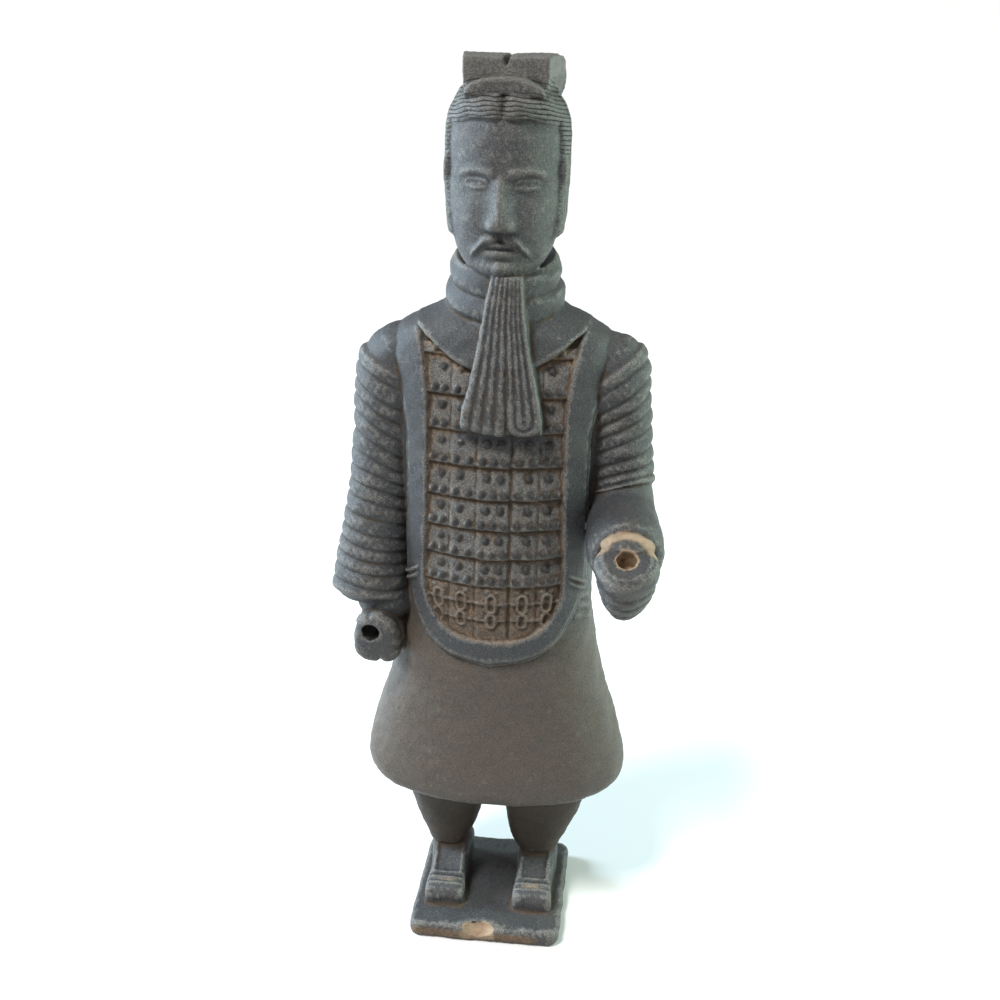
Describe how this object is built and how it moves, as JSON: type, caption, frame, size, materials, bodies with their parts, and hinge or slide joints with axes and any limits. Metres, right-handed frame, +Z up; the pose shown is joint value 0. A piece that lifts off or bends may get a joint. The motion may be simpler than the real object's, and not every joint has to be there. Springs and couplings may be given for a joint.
{
  "type": "terracotta warrior statue",
  "caption": "Shelf-size statue of a standing armoured officer in dark fired clay on a low square plinth, with a split cap, pleated scarf and fists bored for lost shafts.",
  "frame": {"origin": "centre of the plinth's underside", "axes": "+Z up; the figure faces -Y, and its right hand, the lowered one, is on the -X side"},
  "size_m": [0.1404, 0.1012, 0.38],
  "materials": {
    "fired_clay": "matt, unglazed, rubbed to tan clay in the creases and on worn edges"
  },
  "bodies": {
    "root": {"warrior_statue": "fired_clay"}
  },
  "joints": []
}
